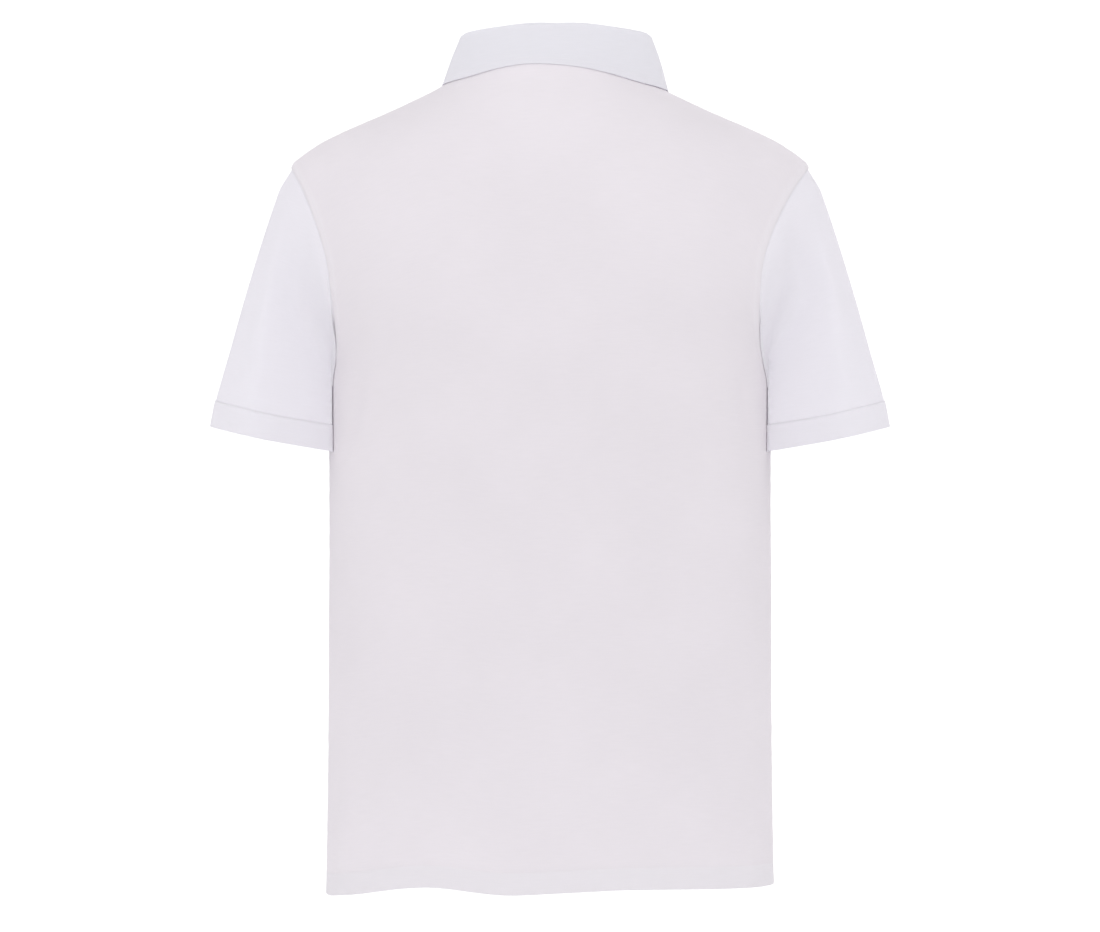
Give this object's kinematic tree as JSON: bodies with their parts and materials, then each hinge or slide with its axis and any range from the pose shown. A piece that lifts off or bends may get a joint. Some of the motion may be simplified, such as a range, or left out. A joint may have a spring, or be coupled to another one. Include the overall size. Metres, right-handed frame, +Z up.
{
  "type": "poplin shirt",
  "caption": "Short-sleeved poplin shirt with a turned-down collar, buttoned down the front and filled out as worn, open at neck, cuffs and hem",
  "frame": {"origin": "midway between the shoulders, at the height where the collar meets the shoulder slope", "axes": "+Z up, the shirt faces -Y, the wearer's left is +X"},
  "size_m": [0.6148, 0.2705, 0.7797],
  "materials": {
    "poplin": "matte white cotton poplin, fine plain weave",
    "collar_poplin": "matte white cotton poplin over a firm interlining",
    "button_resin": "off-white moulded resin, soft gloss"
  },
  "bodies": {
    "root": {"back": "poplin", "front_left": "poplin", "front_right": "poplin", "sleeve_left": "poplin", "sleeve_right": "poplin", "button_strip": "poplin", "collar_stand": "collar_poplin", "collar_leaf": "collar_poplin", "button_1": "button_resin", "button_2": "button_resin", "button_3": "button_resin", "button_4": "button_resin", "button_5": "button_resin", "button_6": "button_resin", "button_collar": "button_resin"}
  },
  "joints": []
}
